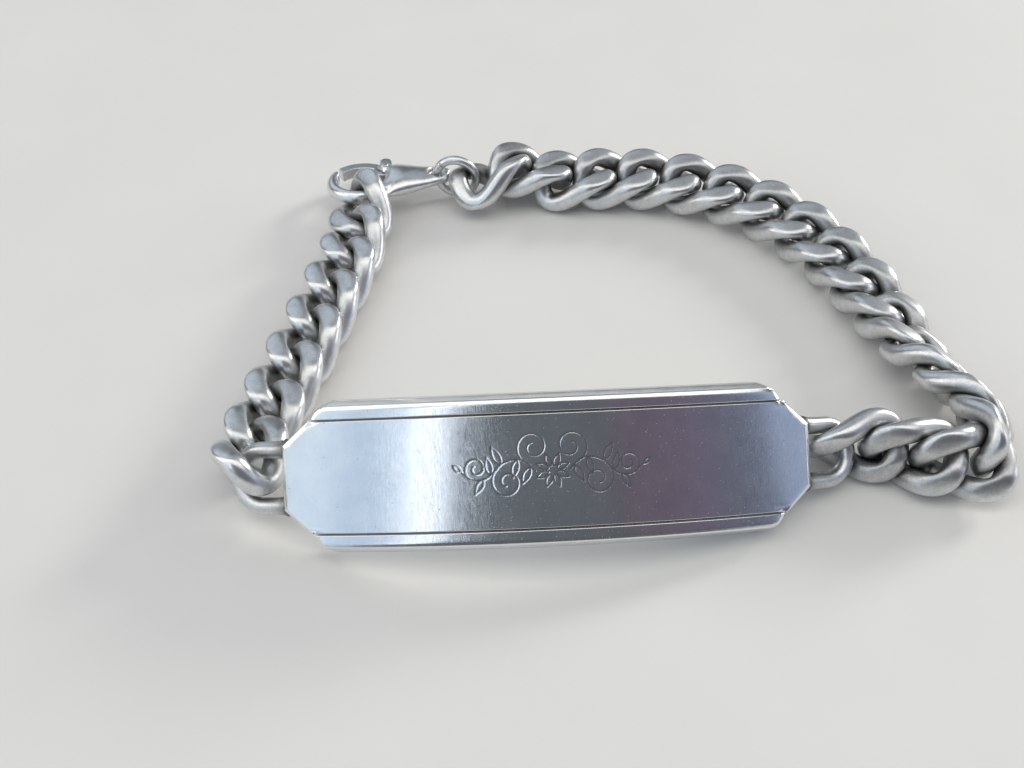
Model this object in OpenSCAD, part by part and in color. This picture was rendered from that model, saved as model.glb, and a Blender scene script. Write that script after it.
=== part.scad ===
// Name bracelet in silver, fastened and lying on a table. A plate curved for the
// wrist has a loop soldered to each end, and it leans back on its lower edge.
// A curb chain in two runs leaves the loops, and a jump ring and a lobster clasp
// with a sprung lever close it. Millimetres and degrees throughout.

/* [Plate] */
// Length of the plate along its curved face
plate_length = 47.5; // [47:0.5:48]
// Width of the face between the long edges
face_width = 12.2; // [12:0.1:12.4]
// Thickness of the plate
plate_thick = 2; // [1.8:0.1:2.1]
// Radius that the face is bent to
face_radius = 56; // [55:1:57]
// Draft of the long side walls
side_draft = 15; // [12:1:16]
// Width of the middle panel, from groove to groove
panel_width = 9.7; // [9.5:0.1:9.9]
// Length of the panel's long edges, before the corners are canted
panel_length = 42.4; // [42.2:0.2:42.6]
// Width of the end that the canted corners leave
end_width = 5.6; // [5.4:0.2:5.8]
// Length of the two side strips outside the grooves
strip_length = 41.8; // [41.4:0.2:42]
// Corner radius of the side strips
strip_corner = 1.6; // [1.2:0.1:1.8]
// Width of each V groove
groove_width = 0.34; // [0.2:0.02:0.5]
// Depth of each V groove
groove_depth = 0.24; // [0.1:0.02:0.4]
// Lean of the plate, from lying flat towards standing up
plate_lean = 45; // [44.5:0.5:45.5]
// Turn of the plate on the table
plate_yaw = 3.5; // [3.4:0.1:3.6]

/* [End loops] */
// Wire of the soldered loops
loop_wire = 1.5; // [1.45:0.05:1.5]
// Distance between the two arms of a loop, centre to centre
loop_width = 4.9; // [4.9:0.05:5]
// Reach of the left loop from the plate's end to the middle of its bow
left_loop_reach = 4.9; // [4.85:0.05:5]
// Reach of the right loop
right_loop_reach = 4.9; // [4.85:0.05:5]
// Length of each arm that is let into the plate's end
loop_bury = 1; // [0.6:0.1:1.4]

/* [Chain] */
// Length of a link, along the centre of its wire
link_length = 7.5; // [7.48:0.01:7.52]
// Width of a link, along the centre of its wire
link_width = 4.7; // [4.68:0.01:4.72]
// How far the twist lifts and sinks the four corners of a link
link_twist = 1.6; // [1.58:0.01:1.62]
// How much fuller than an ellipse the ends of a link are
link_fullness = 0.1; // [0.08:0.01:0.12]
// Wire of the links
link_wire = 1.9; // [1.7:0.05:1.9]
// Height of the flats filed on the upper face of the links, above a link's middle
upper_flat = 2; // [1.95:0.05:2.1]
// Depth of the flats on their lower face, under a link's middle
lower_flat = 2.4; // [2.3:0.05:2.45]
// Segments round a link
link_segments = 16; // [12:2:16]
// Sides of a link's wire
wire_sides = 6; // [5:1:6]

/* [Clasp] */
// Radius of the claw, to the outside of its hook
claw_radius = 3.9; // [3.8:0.05:3.9]
// Radius of the claw's opening
claw_opening = 2.5; // [2.45:0.05:2.55]
// Distance from the middle of the eye to the middle of the claw
claw_reach = 8.6; // [8.5:0.1:8.7]
// Radius of the lug round the eye
eye_radius = 1.5; // [1.45:0.05:1.5]
// Radius of the eye's bore
eye_bore = 0.95; // [0.9:0.05:1]
// Thickness of the clasp's shoulder
shoulder_thick = 2.6; // [2.4:0.1:2.6]
// Thickness of the hook and of the lug
hook_thick = 1.5; // [1.4:0.05:1.5]
// Thickness of the lever
lever_thick = 1.2; // [1:0.1:1.2]
// Gap between the lever and what it passes
lever_gap = 0.12; // [0.1:0.01:0.14]
// Radius of the rivet that the lever turns on
pin_radius = 0.5; // [0.4:0.05:0.55]
// Radial clearance of the lever on the rivet
pin_clearance = 0.05; // [0.03:0.01:0.08]
// Wire of the jump ring
ring_wire = 1; // [0.9:0.05:1]
// Radius of the jump ring, to the middle of its wire
ring_radius = 2.2; // [2.15:0.05:2.25]

/* [Hidden] */
LEFT_LINKS = 8;
RIGHT_LINKS = 18;
function link_name(run, i) = str(run, i < 10 ? "0" : "", i);
SILVER = [0.78, 0.78, 0.79];
ROUND = 64;
BEND = 240;
OVERCUT = 1;

// The middle of the plate's face
plate_place = [-6.35, -24.1, 8.46];

// The clasp: the middle of its eye, then its roll, pitch and heading
clasp_place = [-18.15, 25.1, 2.6];
clasp_turn = [8, 0, 190];

// The jump ring: its middle, then its tilt from upright and its heading
ring_place = [-16, 24.55, 2.9];
ring_tilt = 0;
ring_heading = -9.5;

// Columns of a link's place: x, y, z, heading, climb, roll
X = 0;
Y = 1;
Z = 2;
HEADING = 3;
CLIMB = 4;
ROLL = 5;

// Columns of a stretch of like links: how many, the turn to each, the climb, the
// roll, and the step from one middle to the next
COUNT = 0;
TURN = 1;
STRETCH_CLIMB = 2;
STRETCH_ROLL = 3;
STEP = 4;

// Left run, from the plate's left loop: the first link, the stretches after it,
// and the last two, which the clasp's hook pulls askew
left_start = [
    [-33.05, -18.1, 3.8, 91.5, -20, 2]
];
left_stretches = [
    [1, -14, -2.5, 7, 5.25],
    [1, -2, -0.5, 0, 5.4],
    [3, 0.5, 0.5, -2, 5.4]
];
left_end = [
    [-26.55, 13.2, 2.8, 86, -1, -8],
    [-26.3, 18.65, 2.85, 94, 5.5, -24.5]
];

// Right run, from the plate's right loop: the links that bunch up at the corner,
// the stretches after them, and the last three at the jump ring
right_start = [
    [20.95, -16.75, 3.35, -5, 5, 89],
    [26.05, -17.7, 3.4, -15, 0, 68],
    [30.45, -18.5, 3.4, -7, -5, 64],
    [33.1, -15.1, 3.9, 81, -10, 57],
    [32.05, -10.3, 3.55, 112, -3, 53],
    [30.1, -5.7, 3.25, 113, -5, 39],
    [28.45, -0.7, 2.8, 105, -4, 17]
];
right_stretches = [
    [1, 7, 2, 4, 5.05],
    [1, 4, 1.5, -8, 5.05],
    [1, 7, 0, -12, 5.0],
    [1, 10, 0, -12, 4.95],
    [3, 12.5, 0, -12, 4.9],
    [1, 10, 0, -12, 4.85]
];
right_end = [
    [-2.8, 24, 2.8, 180.5, -1, -8],
    [-7.65, 24.8, 3.3, 174, 7, 4.5],
    [-12, 23.95, 2.95, 202, -6, 24.5]
];

function forward(link) = [
    cos(link[HEADING]) * cos(link[CLIMB]),
    sin(link[HEADING]) * cos(link[CLIMB]),
    sin(link[CLIMB])
];
function middle(link) = [link[X], link[Y], link[Z]];

// The link that a stretch's row puts after the last one
function next_link(last, row) =
    let (
        turned = [0, 0, 0, last[HEADING] + row[TURN], row[STRETCH_CLIMB], row[STRETCH_ROLL]],
        place = middle(last) + row[STEP] / 2 * (forward(last) + forward(turned))
    )
    concat(place, [turned[HEADING], turned[CLIMB], turned[ROLL]]);

// The links already laid, and after them one for each row
function lay(links, rows, i = 0) =
    i == len(rows) ? links
    : lay(concat(links, [next_link(links[len(links) - 1], rows[i])]), rows, i + 1);

function each_link(stretches) = [for (row = stretches) for (i = [1:row[COUNT]]) row];
left_run = concat(lay(left_start, each_link(left_stretches)), left_end);
right_run = concat(lay(right_start, each_link(right_stretches)), right_end);

// The middle of a link's wire, t degrees round it from its front end
function wire_middle(t) = [
    link_length / 2 * cos(t),
    link_width / 2 * sin(t) * (1 + link_fullness * cos(t) * cos(t)),
    -link_twist * sin(2 * t)
];
function wire_direction(t) = unit([
    -link_length / 2 * sin(t),
    link_width / 2 * cos(t) * (1 + link_fullness * (cos(t) * cos(t) - 2 * sin(t) * sin(t))),
    -2 * link_twist * cos(2 * t)
]);
function unit(v) = v / norm(v);
function wire_outward(t) =
    let (out = [link_width * cos(t), link_length * sin(t), 0], along = wire_direction(t))
    unit(out - (out * along) * along);
function wire_ring(t) =
    let (out = wire_outward(t), up = cross(wire_direction(t), out))
    [for (j = [0:wire_sides - 1]) let (turn = 360 * j / wire_sides)
        filed(wire_middle(t) + link_wire / 2 * (cos(turn) * out + sin(turn) * up))];

// A point of the wire, brought down to the flats where it stands above them
function filed(p) = [p[X], p[Y], max(-lower_flat, min(upper_flat, p[Z]))];

// The plate's section: radius from the bend's axis, then height along the width
back_width = face_width + 2 * plate_thick * tan(side_draft);
groove_floor = face_radius - groove_depth;
plate_section = [
    [face_radius - plate_thick, -back_width / 2],
    [face_radius, -face_width / 2],
    [face_radius, -(panel_width + groove_width) / 2],
    [groove_floor, -panel_width / 2],
    [face_radius, -(panel_width - groove_width) / 2],
    [face_radius, (panel_width - groove_width) / 2],
    [groove_floor, panel_width / 2],
    [face_radius, (panel_width + groove_width) / 2],
    [face_radius, face_width / 2],
    [face_radius - plate_thick, back_width / 2]
];
plate_angle = plate_length / face_radius * 180 / PI;
corner_angle = panel_length / 2 / face_radius * 180 / PI;

// The claw's parts, seen from above with the eye at the origin
claw_middle = [claw_reach, 0];
hook_middle_radius = (claw_radius + claw_opening) / 2;
hinge_side = -150;
hinge = claw_middle + hook_middle_radius * [cos(hinge_side), sin(hinge_side)];
gate_middle_side = -60;
hook_middle_side = 0;
cheek_side = -126;
boss_radius = 1.25;
lever_inset = 0.15;
tip_reach = 4.75;
tab_radius = 0.65;
tab_reach = 2.1;
slot_thick = lever_thick + 2 * lever_gap;

// Puts the plate, made round the bend's axis with its width along Z, in place
module place_plate() {
    translate(plate_place) rotate([0, 0, plate_yaw]) rotate([plate_lean - 90, 0, 0])
        rotate([0, 0, -90]) translate([-face_radius, 0, 0]) children();
}

// What is cut away at one end of one strip: the strip's end and the canted corner
module corner_waste() {
    cant_run = (plate_length - panel_length) / 2;
    cant_drop = (panel_width - end_width) / 2;
    strip_end = (strip_length - panel_length) / 2;
    groove_flank = groove_width / 4;
    past_end = 2 * cant_run;
    past_side = back_width;
    corner_middle = back_width / 2 - strip_corner + groove_flank;
    rotate([0, 0, corner_angle]) translate([face_radius - plate_thick - OVERCUT, 0, 0])
        rotate([90, 0, 90]) linear_extrude(plate_thick + 2 * OVERCUT) {
            polygon([
                [strip_end, past_side],
                [strip_end, panel_width / 2 + groove_flank],
                [-groove_flank * cant_run / cant_drop, panel_width / 2 + groove_flank],
                [past_end, panel_width / 2 - 2 * cant_drop],
                [past_end, past_side]
            ]);
            translate([strip_end - strip_corner, corner_middle]) difference() {
                square(strip_corner + OVERCUT);
                circle(strip_corner, $fn = ROUND);
            }
        }
}

// A loop of round wire, two arms and a half round bow, let into the plate's end
module end_loop(reach) {
    arm = reach - loop_width / 2;
    for (side = [-1, 1])
        translate([0, -loop_bury, side * loop_width / 2]) rotate([-90, 0, 0])
            cylinder(h = loop_bury + arm, d = loop_wire, $fn = ROUND);
    translate([0, arm, 0]) rotate([0, -90, 0]) rotate_extrude(angle = 180, $fn = ROUND)
        translate([loop_width / 2, 0]) circle(d = loop_wire, $fn = ROUND);
}

module name_plate() {
    color(SILVER) place_plate() {
        difference() {
            rotate([0, 0, -plate_angle / 2])
                rotate_extrude(angle = plate_angle, $fn = BEND) polygon(plate_section);
            for (end = [0, 1])
                for (side = [0, 1])
                    mirror([0, end, 0]) mirror([0, 0, side]) corner_waste();
        }
        rotate([0, 0, plate_angle / 2]) translate([face_radius - plate_thick / 2, 0, 0])
            end_loop(right_loop_reach);
        mirror([0, 1, 0]) rotate([0, 0, plate_angle / 2])
            translate([face_radius - plate_thick / 2, 0, 0]) end_loop(left_loop_reach);
    }
}

// A twisted oval of round wire, soldered shut
module chain_link(link) {
    rings = [for (i = [0:link_segments - 1]) wire_ring(360 * i / link_segments)];
    points = [for (ring = rings) for (p = ring) p];
    count = len(points);
    faces = [
        for (i = [0:link_segments - 1]) for (j = [0:wire_sides - 1])
            let (
                here = i * wire_sides + j,
                beside = i * wire_sides + (j + 1) % wire_sides,
                ahead = (here + wire_sides) % count,
                across = (beside + wire_sides) % count
            )
            each [[here, ahead, beside], [beside, ahead, across]]
    ];
    color(SILVER) translate(middle(link)) rotate([link[ROLL], -link[CLIMB], link[HEADING]])
        polyhedron(points, faces);
}

module jump_ring() {
    color(SILVER) translate(ring_place) rotate([0, 0, ring_heading]) rotate([90 + ring_tilt, 0, 0])
        rotate_extrude($fn = ROUND) translate([ring_radius, 0]) circle(d = ring_wire, $fn = ROUND);
}

module place_clasp() {
    translate(clasp_place) rotate(clasp_turn) children();
}

// The part of a disc between two bearings seen from its middle
module sector(radius, from, to) {
    middle_bearing = (from + to) / 2;
    intersection() {
        circle(radius, $fn = ROUND);
        polygon([
            [0, 0],
            2 * radius * [cos(from), sin(from)],
            2 * radius * [cos(middle_bearing), sin(middle_bearing)],
            2 * radius * [cos(to), sin(to)]
        ]);
    }
}

// The claw's shoulder, from the eye's lug out to the hinge of the lever
module shoulder_outline() {
    taper = asin((claw_radius - eye_radius) / claw_reach);
    difference() {
        union() {
            polygon([
                eye_radius * [-sin(taper), cos(taper)],
                claw_middle + claw_radius * [-sin(taper), cos(taper)],
                claw_middle,
                claw_middle + claw_radius * [-sin(taper), -cos(taper)],
                eye_radius * [-sin(taper), -cos(taper)]
            ]);
            translate(claw_middle) sector(claw_radius, 90 + taper, 270 - taper);
        }
        translate(claw_middle) circle(claw_opening, $fn = ROUND);
        translate(claw_middle) sector(2 * claw_radius, cheek_side, 0);
        translate(claw_middle) sector(2 * claw_radius, 0, -cheek_side);
        translate([-claw_radius, -claw_radius])
            square([claw_radius + eye_radius, 2 * claw_radius]);
    }
}

// The shoulder, slotted for the lever and bored for its rivet
module clasp_shoulder() {
    difference() {
        translate([0, 0, -shoulder_thick / 2]) linear_extrude(shoulder_thick) shoulder_outline();
        translate([hinge[0], hinge[1], -slot_thick / 2])
            cylinder(h = slot_thick, r = boss_radius + 2 * lever_gap, $fn = ROUND);
        translate([hinge[0] - boss_radius - lever_gap, hinge[1] - 2 * claw_radius, -slot_thick / 2])
            cube([claw_radius, 2 * claw_radius, slot_thick]);
        translate([hinge[0], hinge[1], -shoulder_thick])
            cylinder(h = 2 * shoulder_thick, r = pin_radius, $fn = ROUND);
    }
}

// The hook round the claw's opening, ending just past the reach of the lever's tip
module clasp_hook() {
    translate([0, 0, -hook_thick / 2]) linear_extrude(hook_thick) difference() {
        translate(claw_middle) circle(claw_radius, $fn = ROUND);
        translate(claw_middle) circle(claw_opening, $fn = ROUND);
        translate(claw_middle) sector(2 * claw_radius, -180, gate_middle_side);
        intersection() {
            translate(claw_middle) sector(2 * claw_radius, gate_middle_side - 1, hook_middle_side);
            translate(hinge) circle(tip_reach + lever_gap, $fn = ROUND);
        }
    }
}

// The lug round the eye, running into the shoulder
module clasp_lug() {
    translate([0, 0, -hook_thick / 2]) linear_extrude(hook_thick) difference() {
        union() {
            circle(eye_radius, $fn = ROUND);
            translate([0, -eye_radius]) square([2 * eye_radius, 2 * eye_radius]);
        }
        circle(eye_bore, $fn = ROUND);
    }
}

module clasp_body() {
    color(SILVER) place_clasp() union() {
        clasp_shoulder();
        clasp_hook();
        clasp_lug();
    }
}

// A flat lever on the rivet: a boss, an arm that closes the claw and a thumb tab
module clasp_lever() {
    arm_outer = claw_radius - lever_inset;
    arm_inner = claw_opening + lever_inset;
    tab_place = hinge - [tab_radius / 2, tab_reach];
    color(SILVER) place_clasp() translate([0, 0, -lever_thick / 2]) difference() {
        linear_extrude(lever_thick) {
            translate(hinge) circle(boss_radius, $fn = ROUND);
            intersection() {
                translate(claw_middle) difference() {
                    sector(arm_outer, hinge_side, hook_middle_side);
                    circle(arm_inner, $fn = ROUND);
                }
                translate(hinge) circle(tip_reach, $fn = ROUND);
            }
            translate(tab_place) circle(tab_radius, $fn = ROUND);
            translate([tab_place[0] - tab_radius, tab_place[1]]) square([2 * tab_radius, tab_reach]);
        }
        translate([hinge[0], hinge[1], -OVERCUT])
            cylinder(h = lever_thick + 2 * OVERCUT, r = pin_radius + pin_clearance, $fn = ROUND);
    }
}

module lever_pin() {
    color(SILVER) place_clasp() translate([hinge[0], hinge[1], -shoulder_thick / 2])
        cylinder(h = shoulder_thick, r = pin_radius, $fn = ROUND);
}

name_plate();
jump_ring();
clasp_body();
clasp_lever();
lever_pin();
for (i = [1:LEFT_LINKS])
    chain_link(left_run[i - 1]);
for (i = [1:RIGHT_LINKS])
    chain_link(right_run[i - 1]);
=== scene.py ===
# A silver identity bracelet, fastened and laid on a pale board. The plate leans back
# on its lower edge, and the curb chain runs round behind it to the lobster clasp.
import math

import bmesh
import bpy
import numpy as np
from mathutils import Matrix, Vector


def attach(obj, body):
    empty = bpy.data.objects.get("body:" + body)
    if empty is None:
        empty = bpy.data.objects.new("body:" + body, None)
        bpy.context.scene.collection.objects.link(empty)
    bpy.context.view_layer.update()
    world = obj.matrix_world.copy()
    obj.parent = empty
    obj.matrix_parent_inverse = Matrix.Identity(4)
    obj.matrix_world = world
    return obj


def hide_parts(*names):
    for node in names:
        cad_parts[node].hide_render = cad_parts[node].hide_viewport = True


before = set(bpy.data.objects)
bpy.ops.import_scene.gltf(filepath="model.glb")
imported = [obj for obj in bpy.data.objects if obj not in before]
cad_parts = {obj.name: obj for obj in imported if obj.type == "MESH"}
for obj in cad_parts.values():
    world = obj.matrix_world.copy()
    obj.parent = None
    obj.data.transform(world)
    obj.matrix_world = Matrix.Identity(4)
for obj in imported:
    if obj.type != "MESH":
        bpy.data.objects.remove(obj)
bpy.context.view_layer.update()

# The name plate. A strip of silver 2 mm thick, bent to the wrist, with canted corners
# and a V groove cut along each side. Its face was polished once and has gone grey with
# fine scratches, and a generic spray of flower and vine is engraved in its middle.
MM = 0.001
plate_length = 47.5
face_width = 12.2
plate_thick = 2.0
face_radius = 56.0
side_draft = math.radians(15)
panel_width = 9.7
panel_length = 42.4
end_width = 5.6
strip_length = 41.8
strip_corner = 1.6
plate_place = Vector((-6.35, -24.1, 8.46))
plate_lean = math.radians(45)
plate_yaw = math.radians(3.5)
plate_turn = Matrix.Rotation(plate_yaw, 3, "Z") @ Matrix.Rotation(plate_lean - math.pi / 2, 3, "X")
# The grooves, with a row of points just outside each flank and beside the floor
groove_width = 0.25
groove_depth = 0.16
groove_lip = 0.035
groove_floor = 0.01
groove_tarnish = 0.95
# The face's edge: a small round, and the bevel that wear has left inside it
edge_round = 0.13
worn_bevel = 0.48
worn_blend = 0.14
worn_slope = 0.26
rubbed_reach = 0.5
edge_steps = [0.0, 0.03, 0.07, 0.12, 0.18, 0.25, 0.32, 0.4, 0.48]
# The sides under the face. Columns: depth, inset, how rubbed
side_rings = [(0.8, 0.0, 0.35), (1.3, 0.0, 0.35), (1.75, 0.0, 0.9), (1.88, 0.04, 0.9), (1.96, 0.12, 0.9)]
back_inset = 0.25
back_rubbed = 0.6
# The engraving, and how finely the face is divided under it and elsewhere
cut_width = 0.14
cut_depth = 0.035
cut_fullness = 1.25
cut_tarnish = 0.42
petal_count = 8
petal_start = 0.35
petal_length = 1.15
petal_width = 0.48
work_length = 8.6
work_height = 3.6
work_grid = 0.07
strip_rows = 4
plain_rows = 7
plain_columns = 22


def plate_in_row(points):
    """Points from the plate's own place to the row frame, in mm."""
    return points @ np.array(plate_turn).T + np.array(plate_place)


def on_plate(along, across, depth):
    """Points in the row frame, in mm, from places on the bent plate and depths under its face."""
    angle = along / face_radius
    radius = face_radius - depth
    bent = [radius * np.sin(angle), face_radius - radius * np.cos(angle), across]
    return plate_in_row(np.stack(bent, -1))


def half_length(across):
    """Half the plate's length at each height across it: end, canted corner, side strip."""
    side = np.abs(across)
    cant = (side - end_width / 2) / (panel_width - end_width) * 2
    panel = plate_length / 2 - np.clip(cant, 0, 1) * (plate_length - panel_length) / 2
    in_corner = np.clip(side - (face_width / 2 - strip_corner), 0, strip_corner)
    strip = strip_length / 2 - strip_corner + np.sqrt(strip_corner**2 - in_corner**2)
    return np.where(side <= panel_width / 2, panel, strip)


def plate_rows():
    """Heights across the face: dense on the engraving, at the grooves and at the edges."""
    edge = [face_width / 2 - step for step in edge_steps]
    strip = list(np.linspace(edge[-1], panel_width / 2 + groove_width / 2, strip_rows)[1:-1])
    flank = [groove_width / 2 + groove_lip, groove_width / 2, groove_width / 4, groove_floor]
    groove = [panel_width / 2 + part for part in flank + [-part for part in flank[::-1]]]
    plain = list(np.linspace(groove[-1], work_height, plain_rows)[1:])
    inner = list(np.arange(work_grid / 2, work_height - work_grid / 2, work_grid))[::-1]
    upper = edge + strip + groove + plain + inner
    return np.array([-value for value in upper] + upper[::-1])


def plate_columns():
    """Places along the face, left to right: dense on the engraving."""
    fine = np.arange(work_grid / 2, work_length, work_grid)
    plain = np.linspace(work_length + work_grid / 2, plate_length / 2 - edge_steps[-1], plain_columns)
    right = np.concatenate([fine, plain])
    return np.concatenate([-right[::-1], right])


def face_grid():
    """The grid of places along and across the face, drawn in at each row to the plate's ends."""
    rows = plate_rows()
    half = half_length(rows)[:, None]
    ends = np.array(edge_steps[:-1])[::-1][None]
    reach = plate_length / 2 - edge_steps[-1]
    middle = plate_columns()[None] * (half - edge_steps[-1]) / reach
    along = np.concatenate([-(half - ends)[:, ::-1], middle, half - ends], 1)
    return along, np.repeat(rows[:, None], along.shape[1], 1)


def curl(start, bearing, radius, turns, count=70, wound=0.75):
    """A tendril: it leaves a point along a bearing and winds in, left for turns over 0."""
    side = math.copysign(1, turns)
    heading = math.radians(bearing)
    centre = np.array(start) + side * radius * np.array([-math.sin(heading), math.cos(heading)])
    part = np.linspace(0, 1, count)
    angle = heading - side * math.pi / 2 + 2 * math.pi * turns * part
    size = radius * (1 - wound * part)
    return centre + size[:, None] * np.stack([np.cos(angle), np.sin(angle)], 1)


def leaf(base, bearing, length, width, count=20, fullness=0.3):
    """The almond outline of a leaf or petal, out and back, fuller towards its base."""
    part = np.concatenate([np.linspace(0, 1, count), np.linspace(1, 0, count)])
    side = np.repeat([1, -1], count)
    x = length * part
    y = side * width / 2 * np.sin(math.pi * part) * (1 + fullness * (1 - 2 * part))
    cosine, sine = math.cos(math.radians(bearing)), math.sin(math.radians(bearing))
    return np.array(base) + np.stack([x * cosine - y * sine, x * sine + y * cosine], 1)


def smooth_line(points, count=120, short_of_end=0.0001):
    """A curve through a few points, as a fine row of points."""
    knots = np.array([points[0]] + list(points) + [points[-1]], float)
    out = []
    for step in np.linspace(0, len(points) - 1 - short_of_end, count):
        i = int(step)
        t = step - i
        a, b, c, d = knots[i], knots[i + 1], knots[i + 2], knots[i + 3]
        out.append(0.5 * (2 * b + (c - a) * t + (2 * a - 5 * b + 4 * c - d) * t**2
                          + (3 * b - a - 3 * c + d) * t**3))
    return np.array(out)


def flourish():
    """The engraved lines of a spray: an eight-petalled flower and a vine to each side."""
    lines = [smooth_line([(1.4, 0.0), (2.6, 0.95), (4.1, 0.75), (5.4, -0.4), (6.6, -0.6), (7.7, 0.2)])]
    # Tendrils. Columns: start along, start across, bearing, radius, turns
    for along, across, bearing, radius, turns in (
            (2.4, 0.8, 35, 1.45, 1.35), (4.6, 0.3, -35, 1.4, -1.35), (6.9, -0.5, 30, 1.0, 1.3)):
        lines.append(curl((along, across), bearing, radius, turns))
    # Leaves. Columns: base along, base across, bearing, length, width
    for along, across, bearing, length, width in (
            (1.85, 0.35, -62, 1.6, 0.55), (2.95, 0.98, -75, 1.55, 0.52), (4.3, 0.6, 62, 1.7, 0.55),
            (5.2, -0.2, 78, 1.5, 0.5), (5.8, -0.55, -58, 1.4, 0.5), (7.68, 0.18, 38, 0.8, 0.34)):
        lines.append(leaf((along, across), bearing, length, width))
    lines += [line * np.array([-1, 1]) for line in lines]
    for number in range(petal_count):
        turn = (number + 0.5) / petal_count * 2 * math.pi
        base = (petal_start * math.cos(turn), petal_start * math.sin(turn))
        lines.append(leaf(base, math.degrees(turn), petal_length, petal_width))
    return lines


def nearest(places, line, no_length=1e-9):
    """Distance from each place to a line of joined points."""
    run = np.diff(line, axis=0)
    off = places[:, None] - line[None, :-1]
    part = np.clip((off * run).sum(2) / np.maximum((run**2).sum(1), no_length), 0, 1)
    return np.sqrt(((off - part[..., None] * run) ** 2).sum(2).min(1))


def quarter_outline(count=12):
    """A quarter of the face's edge, from the end's middle round to the side's middle."""
    turn = np.linspace(0, math.pi / 2, count)
    corner = np.stack([strip_length / 2 - strip_corner * (1 - np.cos(turn)),
                       face_width / 2 - strip_corner * (1 - np.sin(turn))], 1)
    panel = [(plate_length / 2, 0), (plate_length / 2, end_width / 2),
             (panel_length / 2, panel_width / 2), (strip_length / 2, panel_width / 2)]
    return np.concatenate([panel, corner, [(0, face_width / 2)]])


def worn_edge(along, across):
    """How far wear and rounding have brought the face down by its edge, and how rubbed it is."""
    from_edge = nearest(np.abs(np.stack([along, across], 1)), quarter_outline())
    into = np.clip(edge_round - from_edge, 0, edge_round)
    sloped = np.clip(worn_bevel - from_edge, 0, worn_bevel)
    bevel = np.where(sloped < worn_blend, sloped**2 / (2 * worn_blend), sloped - worn_blend / 2)
    drop = edge_round - np.sqrt(edge_round**2 - into**2) + worn_slope * bevel
    return drop, np.clip(1 - from_edge / rubbed_reach, 0, 1)


def plate_cuts(along, across):
    """Depth of the grooves and the engraving, and how much is their tarnished floor."""
    off_groove = np.abs(np.abs(across) - panel_width / 2)
    groove = np.clip(1 - off_groove / (groove_width / 2), 0, 1)
    depth = groove_depth * groove
    floor = groove_tarnish * np.sqrt(groove)
    area = (np.abs(along) < work_length) & (np.abs(across) < work_height)
    places = np.stack([along[area], across[area]], 1)
    cut = np.zeros(len(places))
    for line in flourish():
        middle = line.mean(0)
        near = np.abs(places - middle).max(1) < np.abs(line - middle).max() + cut_width
        off = nearest(places[near], line)
        cut[near] = np.maximum(cut[near], np.clip(cut_fullness - 2 * off / cut_width, 0, 1))
    depth[area] += cut_depth * cut
    floor[area] = np.maximum(floor[area], cut_tarnish * cut)
    return depth, floor


def flared(across, depth):
    """Heights across the plate at a depth, where its two sides lean out below the face."""
    past_panel = np.clip((np.abs(across) - panel_width / 2) / (face_width - panel_width) * 2, 0, 1)
    return across + np.sign(across) * past_panel * depth * math.tan(side_draft)


def grid_quads(index):
    """Quads over a grid of vertex numbers."""
    return np.stack([index[:-1, :-1], index[:-1, 1:], index[1:, 1:], index[1:, :-1]], -1).reshape(-1, 4)


def plate_mesh():
    """Vertices in mm, faces, and for each vertex its span on the face, floor and wear."""
    along, across = face_grid()
    index = np.arange(along.size).reshape(along.shape)
    ring = np.concatenate([index[0, :-1], index[:-1, -1], index[-1, :0:-1], index[:0:-1, 0]])
    along, across = along.ravel(), across.ravel()
    drop, rubbed = worn_edge(along, across)
    depth, floor = plate_cuts(along, across)
    verts = [on_plate(along, across, np.maximum(depth, drop))]
    spans = [np.stack([along, across, np.zeros_like(along)], 1)]
    floors = [floor]
    wears = [rubbed]
    rings = [ring]
    start = len(along)
    for below, inset, side_rubbed in side_rings:
        ring_along = along[ring] * (1 - inset / plate_length * 2)
        ring_across = flared(across[ring], below)
        ring_across -= np.sign(ring_across) * inset * (np.abs(ring_across) > panel_width / 2)
        at_side = np.full(len(ring), below)
        verts.append(on_plate(ring_along, ring_across, at_side))
        spans.append(np.stack([ring_along, ring_across, at_side], 1))
        floors.append(np.zeros(len(ring)))
        wears.append(np.full(len(ring), side_rubbed))
        rings.append(np.arange(start, start + len(ring)))
        start += len(ring)
    back_along = along * (1 - back_inset / plate_length * 2)
    back_across = flared(across, plate_thick) * (1 - back_inset / face_width * 2)
    at_back = np.full(len(along), plate_thick)
    verts.append(on_plate(back_along, back_across, at_back))
    spans.append(np.stack([back_along, back_across, 2 * at_back], 1))
    floors.append(np.zeros(len(along)))
    wears.append(back_rubbed * rubbed)
    rings.append(start + ring)
    quads = [grid_quads(index)]
    for above, below in zip(rings, rings[1:]):
        quads.append(np.stack([above, below, np.roll(below, -1), np.roll(above, -1)], 1))
    quads.append(grid_quads(start + index.T))
    values = {"span": np.concatenate(spans), "floor": np.concatenate(floors), "wear": np.concatenate(wears)}
    return np.concatenate(verts), np.concatenate(quads), values


def linear(code):
    """An sRGB hex colour as Blender's linear one."""
    parts = [int(code[i:i + 2], 16) / 255 for i in (1, 3, 5)]
    return [p / 12.92 if p <= 0.04045 else ((p + 0.055) / 1.055) ** 2.4 for p in parts] + [1]


def add_node(tree, kind, settings=None, links=None):
    """One shader node with its properties, its inputs' values and what is plugged into them."""
    made = tree.nodes.new("ShaderNode" + kind)
    for key, value in (settings or {}).items():
        if isinstance(key, str) and hasattr(made, key):
            setattr(made, key, value)
        else:
            made.inputs[key].default_value = value
    for key, source in (links or {}).items():
        tree.links.new(made.inputs[key], source)
    return made


def new_material(name):
    """A material with an empty tree, and its tree."""
    made = bpy.data.materials.new(name)
    made.use_nodes = True
    made.node_tree.nodes.clear()
    return made, made.node_tree


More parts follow.
